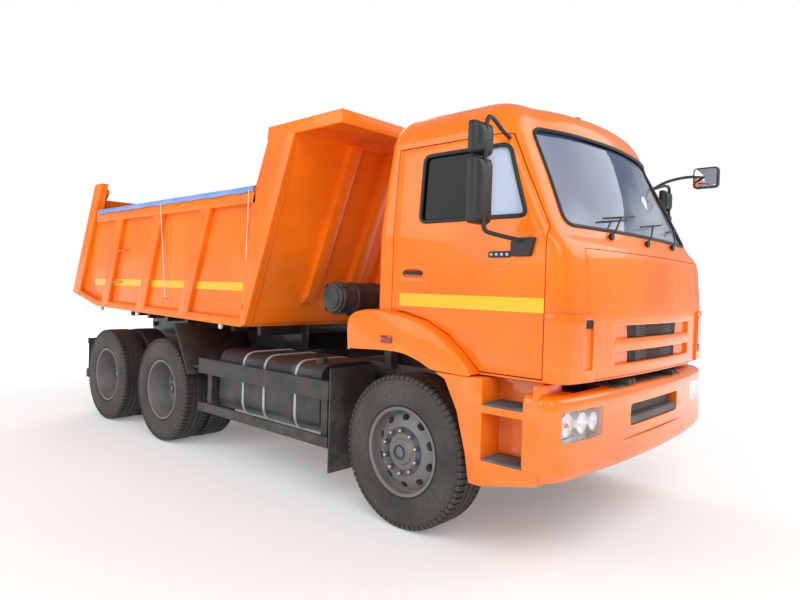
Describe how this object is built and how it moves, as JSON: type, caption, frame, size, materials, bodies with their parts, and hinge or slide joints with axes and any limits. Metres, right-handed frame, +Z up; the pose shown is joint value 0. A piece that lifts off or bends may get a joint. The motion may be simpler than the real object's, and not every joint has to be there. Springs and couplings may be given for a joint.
{
  "type": "dump truck",
  "caption": "Forward-control dump truck with a rib-sided tipping bed under a cover sheet, a telescopic hoist, twin rear wheels, a tilting cab and opening doors.",
  "frame": {"origin": "on the ground, under the middle of the truck's length and width", "axes": "+Z up, -Y towards the front of the truck, +X towards its left side"},
  "size_m": [2.99, 6.785, 2.862],
  "materials": {
    "orange_paint": "gloss orange paint",
    "dark_paint": "satin dark grey paint",
    "tank_paint": "satin dark grey paint",
    "wheel_paint": "grey paint",
    "cast_metal": "cast and painted",
    "bright_steel": "ground and plated",
    "tyre": "dusty rubber",
    "black_plastic": "matte",
    "grey_plastic": "grained",
    "glass": "clear, slightly grey",
    "lamp": "clear lens over a bright reflector",
    "seat_fabric": "woven",
    "cover_sheet": "blue coated sheet"
  },
  "bodies": {
    "chassis": {"frame": "dark_paint", "front_axle": "dark_paint", "spring_front_left": "dark_paint", "spring_front_right": "dark_paint", "spring_rear_left": "dark_paint", "spring_rear_right": "dark_paint", "rear_axle_2": "dark_paint", "rear_axle_3": "dark_paint", "engine": "cast_metal", "bumper": "orange_paint", "headlight_left": "lamp", "headlight_right": "lamp", "fuel_tank": "tank_paint", "battery_box": "dark_paint", "side_guard_left": "dark_paint", "side_guard_right": "dark_paint", "underrun": "dark_paint", "air_filter": "black_plastic"},
    "knuckle_right": {"knuckle_right": "dark_paint"},
    "knuckle_left": {"knuckle_left": "dark_paint"},
    "tie_rod": {"tie_rod": "dark_paint"},
    "wheel_front_right": {"tyre_front_right": "tyre", "rim_front_right": "wheel_paint"},
    "wheel_front_left": {"tyre_front_left": "tyre", "rim_front_left": "wheel_paint"},
    "wheels_2_right": {"rims_2_right": "wheel_paint", "tyre_2_right_outer": "tyre", "tyre_2_right_inner": "tyre"},
    "wheels_2_left": {"rims_2_left": "wheel_paint", "tyre_2_left_outer": "tyre", "tyre_2_left_inner": "tyre"},
    "wheels_3_right": {"rims_3_right": "wheel_paint", "tyre_3_right_outer": "tyre", "tyre_3_right_inner": "tyre"},
    "wheels_3_left": {"rims_3_left": "wheel_paint", "tyre_3_left_outer": "tyre", "tyre_3_left_inner": "tyre"},
    "hoist_barrel": {"hoist_barrel": "dark_paint"},
    "hoist_stage_1": {"hoist_stage_1": "bright_steel"},
    "hoist_stage_2": {"hoist_stage_2": "bright_steel"},
    "hoist_stage_3": {"hoist_stage_3": "bright_steel"},
    "hoist_stage_4": {"hoist_stage_4": "bright_steel"},
    "cab": {"cab": "orange_paint", "windshield": "glass", "dashboard": "grey_plastic", "seat_left": "seat_fabric", "seat_right": "seat_fabric"},
    "door_right": {"door_right": "orange_paint", "glass_right": "glass", "mirror_right": "black_plastic"},
    "door_left": {"door_left": "orange_paint", "glass_left": "glass", "mirror_left": "black_plastic"},
    "bed": {"bed": "orange_paint", "cover": "cover_sheet"},
    "tailgate": {"tailgate": "orange_paint"}
  },
  "joints": [
    {"name": "steering_right", "type": "hinge", "parent": "chassis", "child": "knuckle_right", "pos_m": [-0.86, -2.1475, 0.515], "axis": [0, 0, 1], "range_deg": [-35, 35]},
    {"name": "steering_left", "type": "hinge", "parent": "chassis", "child": "knuckle_left", "pos_m": [0.86, -2.1475, 0.515], "axis": [0, 0, 1], "range_deg": [-35, 35]},
    {"name": "tie_rod_slide", "type": "slide", "parent": "chassis", "child": "tie_rod", "axis": [-1, 0, 0], "range_m": [-0.115, 0.115]},
    {"name": "front_wheel_right", "type": "hinge", "parent": "knuckle_right", "child": "wheel_front_right", "pos_m": [-1.0215, -2.1475, 0.515], "axis": [1, 0, 0], "continuous": true},
    {"name": "front_wheel_left", "type": "hinge", "parent": "knuckle_left", "child": "wheel_front_left", "pos_m": [1.0215, -2.1475, 0.515], "axis": [1, 0, 0], "continuous": true},
    {"name": "rear_wheels_2_right", "type": "hinge", "parent": "chassis", "child": "wheels_2_right", "pos_m": [-0.945, 1.0425, 0.515], "axis": [1, 0, 0], "continuous": true},
    {"name": "rear_wheels_2_left", "type": "hinge", "parent": "chassis", "child": "wheels_2_left", "pos_m": [0.945, 1.0425, 0.515], "axis": [1, 0, 0], "continuous": true},
    {"name": "rear_wheels_3_right", "type": "hinge", "parent": "chassis", "child": "wheels_3_right", "pos_m": [-0.945, 2.3625, 0.515], "axis": [1, 0, 0], "continuous": true},
    {"name": "rear_wheels_3_left", "type": "hinge", "parent": "chassis", "child": "wheels_3_left", "pos_m": [0.945, 2.3625, 0.515], "axis": [1, 0, 0], "continuous": true},
    {"name": "cab_tilt", "type": "hinge", "parent": "chassis", "child": "cab", "pos_m": [0, -3.3575, 1.065], "axis": [1, 0, 0], "range_deg": [0, 50]},
    {"name": "door_hinge_right", "type": "hinge", "parent": "cab", "child": "door_right", "pos_m": [-1.15, -3.1795, 1.8], "axis": [0, 0, 1], "range_deg": [0, 70]},
    {"name": "door_hinge_left", "type": "hinge", "parent": "cab", "child": "door_left", "pos_m": [1.15, -3.1795, 1.8], "axis": [0, 0, -1], "range_deg": [0, 70]},
    {"name": "bed_tip", "type": "hinge", "parent": "chassis", "child": "bed", "pos_m": [0, 2.8025, 1.05], "axis": [-1, 0, 0], "range_deg": [0, 50]},
    {"name": "tailgate_hinge", "type": "hinge", "parent": "bed", "child": "tailgate", "pos_m": [0, 2.6675, 2.63], "axis": [1, 0, 0], "range_deg": [0, 70]},
    {"name": "hoist_lean", "type": "hinge", "parent": "chassis", "child": "hoist_barrel", "pos_m": [0, 0.6025, 0.92], "axis": [-1, 0, 0], "range_deg": [0, 25.5]},
    {"name": "hoist_slide_1", "type": "slide", "parent": "hoist_barrel", "child": "hoist_stage_1", "axis": [0, 0, 1], "range_m": [0, 0.46]},
    {"name": "hoist_slide_2", "type": "slide", "parent": "hoist_stage_1", "child": "hoist_stage_2", "axis": [0, 0, 1], "range_m": [0, 0.46]},
    {"name": "hoist_slide_3", "type": "slide", "parent": "hoist_stage_2", "child": "hoist_stage_3", "axis": [0, 0, 1], "range_m": [0, 0.46]},
    {"name": "hoist_slide_4", "type": "slide", "parent": "hoist_stage_3", "child": "hoist_stage_4", "axis": [0, 0, 1], "range_m": [0, 0.46]}
  ],
  "couplings": [
    {"joint": "steering_left", "follows": "steering_right", "ratio": 1},
    {"joint": "tie_rod_slide", "follows": "steering_right", "m_per_rad": 0.18},
    {"joint": "hoist_lean", "follows": "bed_tip", "ratio": 0.50115},
    {"joint": "hoist_slide_1", "follows": "bed_tip", "m_per_rad": 0.5256},
    {"joint": "hoist_slide_2", "follows": "bed_tip", "m_per_rad": 0.5256},
    {"joint": "hoist_slide_3", "follows": "bed_tip", "m_per_rad": 0.5256},
    {"joint": "hoist_slide_4", "follows": "bed_tip", "m_per_rad": 0.5256}
  ]
}
